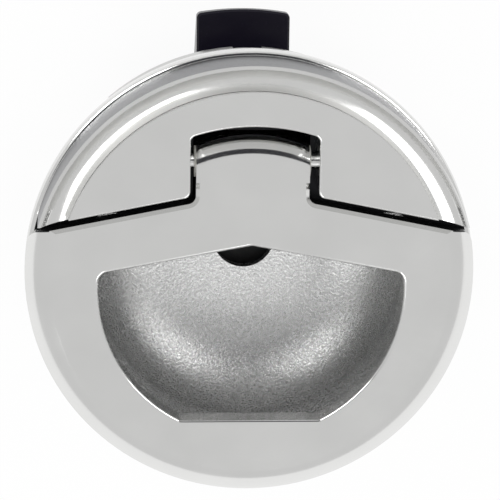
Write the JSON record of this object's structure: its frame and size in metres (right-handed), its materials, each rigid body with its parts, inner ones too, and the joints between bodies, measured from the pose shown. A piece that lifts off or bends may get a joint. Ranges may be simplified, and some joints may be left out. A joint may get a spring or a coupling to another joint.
{
  "type": "flush catch",
  "caption": "Round flush catch with a hood, a finger cup, a hinged pull handle whose lever draws back a sprung slam bolt, and a ring nut that clamps it in a panel.",
  "frame": {"origin": "middle of the flange's rear face, where it seats on the panel", "axes": "+Z is the panel's outward normal, +Y points the way the bolt comes out, +X is to the right seen from the front with the bolt up"},
  "size_m": [0.0635, 0.0659, 0.0407],
  "materials": {
    "polished_steel": "mirror polished stainless steel, rough cast in the cup",
    "satin_steel": "satin stainless steel",
    "pin_steel": "ground stainless steel",
    "spring_steel": "drawn stainless wire",
    "screw_steel": "plain stainless steel",
    "bush_acetal": "natural acetal",
    "black_acetal": "glossy black acetal",
    "black_nylon": "moulded black nylon, fine texture",
    "rubber": "soft black rubber"
  },
  "bodies": {
    "root": {"bezel_body": "polished_steel", "panel_gasket": "rubber", "thrust_washer": "satin_steel", "ring_nut": "satin_steel", "latch_housing": "black_nylon", "housing_cover": "black_nylon", "cover_screw_upper_left": "screw_steel", "cover_screw_upper_right": "screw_steel", "cover_screw_lower_left": "screw_steel", "cover_screw_lower_right": "screw_steel", "hinge_pin": "pin_steel", "handle_spring": "spring_steel", "bolt_spring_left": "spring_steel", "bolt_spring_right": "spring_steel", "handle_bumper_left": "rubber", "handle_bumper_right": "rubber"},
    "handle": {"pull_handle": "polished_steel", "hinge_bush_left": "bush_acetal", "hinge_bush_right": "bush_acetal"},
    "arm": {"release_arm": "satin_steel"},
    "bolt": {"slam_bolt": "black_acetal"}
  },
  "joints": [
    {"name": "handle_hinge", "type": "hinge", "parent": "root", "child": "handle", "pos_m": [0, 0.0163, 0.0031], "axis": [-1, 0, 0], "range_deg": [0, 22], "stiffness_Nm_per_rad": 0.28, "springref_deg": -24.64, "deforming": ["handle_spring"]},
    {"name": "arm_swing", "type": "hinge", "parent": "root", "child": "arm", "pos_m": [0, 0.0163, 0.0031], "axis": [-1, 0, 0], "range_deg": [0, 22]},
    {"name": "bolt_slide", "type": "slide", "parent": "root", "child": "bolt", "axis": [0, -1, 0], "range_m": [0, 0.00963], "deforming": ["bolt_spring_left", "bolt_spring_right"]}
  ],
  "couplings": [
    {"joint": "arm_swing", "follows": "handle_hinge", "ratio": 1},
    {"joint": "bolt_slide", "follows": "handle_hinge", "m_per_rad": 0.025082}
  ]
}
